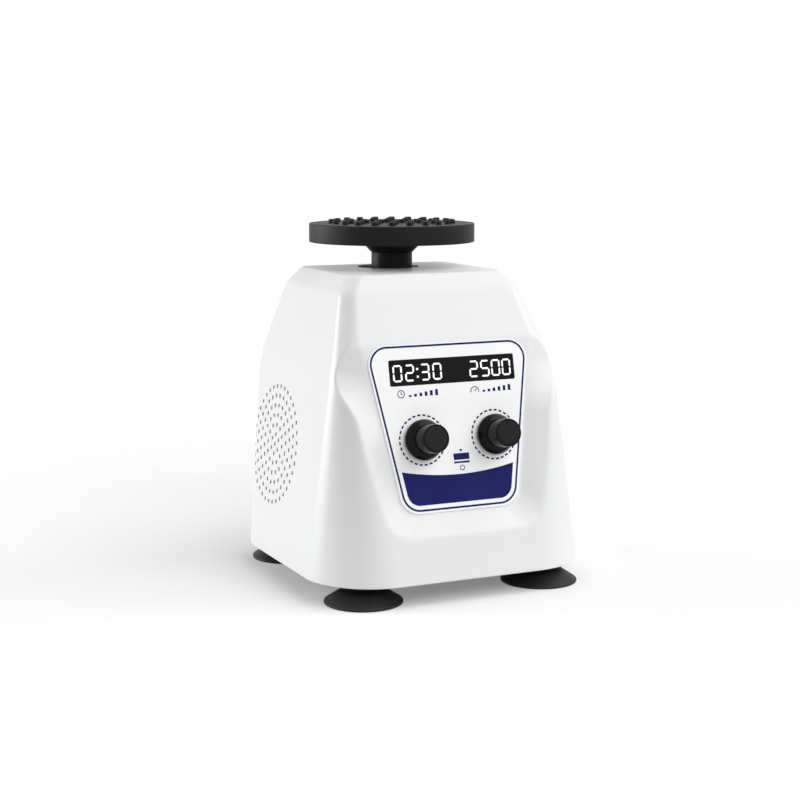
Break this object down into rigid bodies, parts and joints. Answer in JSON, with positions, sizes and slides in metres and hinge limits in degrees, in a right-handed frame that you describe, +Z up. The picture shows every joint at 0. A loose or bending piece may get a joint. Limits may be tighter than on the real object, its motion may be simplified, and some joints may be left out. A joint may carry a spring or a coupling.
{
  "type": "vortex mixer",
  "caption": "Bench-top laboratory vortex mixer: tapered white housing on suction feet, orbiting studded rubber platform, sunken panel with display and push-and-turn knobs.",
  "frame": {"origin": "On the table, under the middle of the housing's rim", "axes": "+Z up, the front with its controls faces -Y, +X to the right as seen from the front"},
  "size_m": [0.129, 0.1244, 0.1585],
  "materials": {
    "housing_plastic": "glossy",
    "foot_rubber": "matte",
    "platform_rubber": "matte",
    "boot_rubber": "matte",
    "neck_plastic": "satin",
    "overlay_film": "satin",
    "display_cover": "glossy",
    "knob_gloss": "glossy",
    "knob_face": "matte",
    "socket_plastic": "satin",
    "board_laminate": "satin",
    "encoder_plastic": "satin",
    "iron_casting": "matte",
    "base_steel": "satin",
    "motor_paint": "satin",
    "turned_aluminium": "satin",
    "copper_winding": "satin",
    "plated_brass": "satin",
    "bright_steel": "satin"
  },
  "bodies": {
    "base": {"ballast_screws": "bright_steel", "ballast_weight": "iron_casting", "base_plate": "base_steel", "board_screws": "bright_steel", "board_spacers": "encoder_plastic", "boot_clamp": "bright_steel", "column_screws_lower": "bright_steel", "column_screws_upper": "bright_steel", "control_board": "board_laminate", "display_module": "display_cover", "display_window": "display_cover", "encoder_nuts": "plated_brass", "foot_front_left": "foot_rubber", "foot_front_right": "foot_rubber", "foot_nuts": "bright_steel", "foot_rear_left": "foot_rubber", "foot_rear_right": "foot_rubber", "foot_studs": "bright_steel", "housing": "housing_plastic", "housing_screws": "bright_steel", "motor_bearing_lower": "bright_steel", "motor_bearing_upper": "bright_steel", "motor_can": "motor_paint", "motor_carrier": "turned_aluminium", "motor_front_bell": "turned_aluminium", "motor_rear_bell": "turned_aluminium", "motor_screws": "bright_steel", "mount_columns": "turned_aluminium", "mount_dampers": "boot_rubber", "neck_boot": "boot_rubber", "panel_overlay": "overlay_film", "power_socket": "socket_plastic", "power_socket_nut": "plated_brass", "power_socket_pin": "plated_brass", "speed_encoder": "encoder_plastic", "stator_core": "copper_winding", "time_encoder": "encoder_plastic"},
    "rotor": {"motor_shaft": "bright_steel", "rotor_core": "bright_steel", "eccentric_hub": "turned_aluminium", "hub_grub_screw": "bright_steel", "counterweight": "iron_casting", "counterweight_screw": "bright_steel"},
    "head": {"neck": "neck_plastic", "neck_bearing_lower": "bright_steel", "neck_bearing_upper": "bright_steel", "bearing_sleeve": "bright_steel", "neck_circlip": "bright_steel", "platform_insert": "plated_brass", "platform": "platform_rubber"},
    "time_push": {"time_plunger": "encoder_plastic"},
    "time_turn": {"time_shaft": "bright_steel", "time_knob": "knob_gloss", "time_knob_cap": "knob_face"},
    "speed_push": {"speed_plunger": "encoder_plastic"},
    "speed_turn": {"speed_shaft": "bright_steel", "speed_knob": "knob_gloss", "speed_knob_cap": "knob_face"}
  },
  "joints": [
    {"name": "drive_spin", "type": "hinge", "parent": "base", "child": "rotor", "pos_m": [0, 0.0239, 0.1], "axis": [0, 0, 1], "continuous": true, "deforming": ["neck_boot"]},
    {"name": "head_orbit", "type": "hinge", "parent": "rotor", "child": "head", "pos_m": [0.0018, 0.0239, 0.13], "axis": [0, 0, 1], "continuous": true, "deforming": ["neck_boot"]},
    {"name": "time_press", "type": "slide", "parent": "base", "child": "time_push", "axis": [0, 0.9781, -0.208], "range_m": [0, 0.0008], "stiffness_N_per_m": 5000, "springref_m": -0.0003},
    {"name": "time_dial", "type": "hinge", "parent": "time_push", "child": "time_turn", "pos_m": [-0.0158, -0.04523, 0.06807], "axis": [0, -0.9781, 0.208], "continuous": true},
    {"name": "speed_press", "type": "slide", "parent": "base", "child": "speed_push", "axis": [0, 0.9781, -0.208], "range_m": [0, 0.0008], "stiffness_N_per_m": 5000, "springref_m": -0.0003},
    {"name": "speed_dial", "type": "hinge", "parent": "speed_push", "child": "speed_turn", "pos_m": [0.0186, -0.04523, 0.06807], "axis": [0, -0.9781, 0.208], "continuous": true}
  ],
  "couplings": [
    {"joint": "head_orbit", "follows": "drive_spin", "ratio": -1}
  ]
}
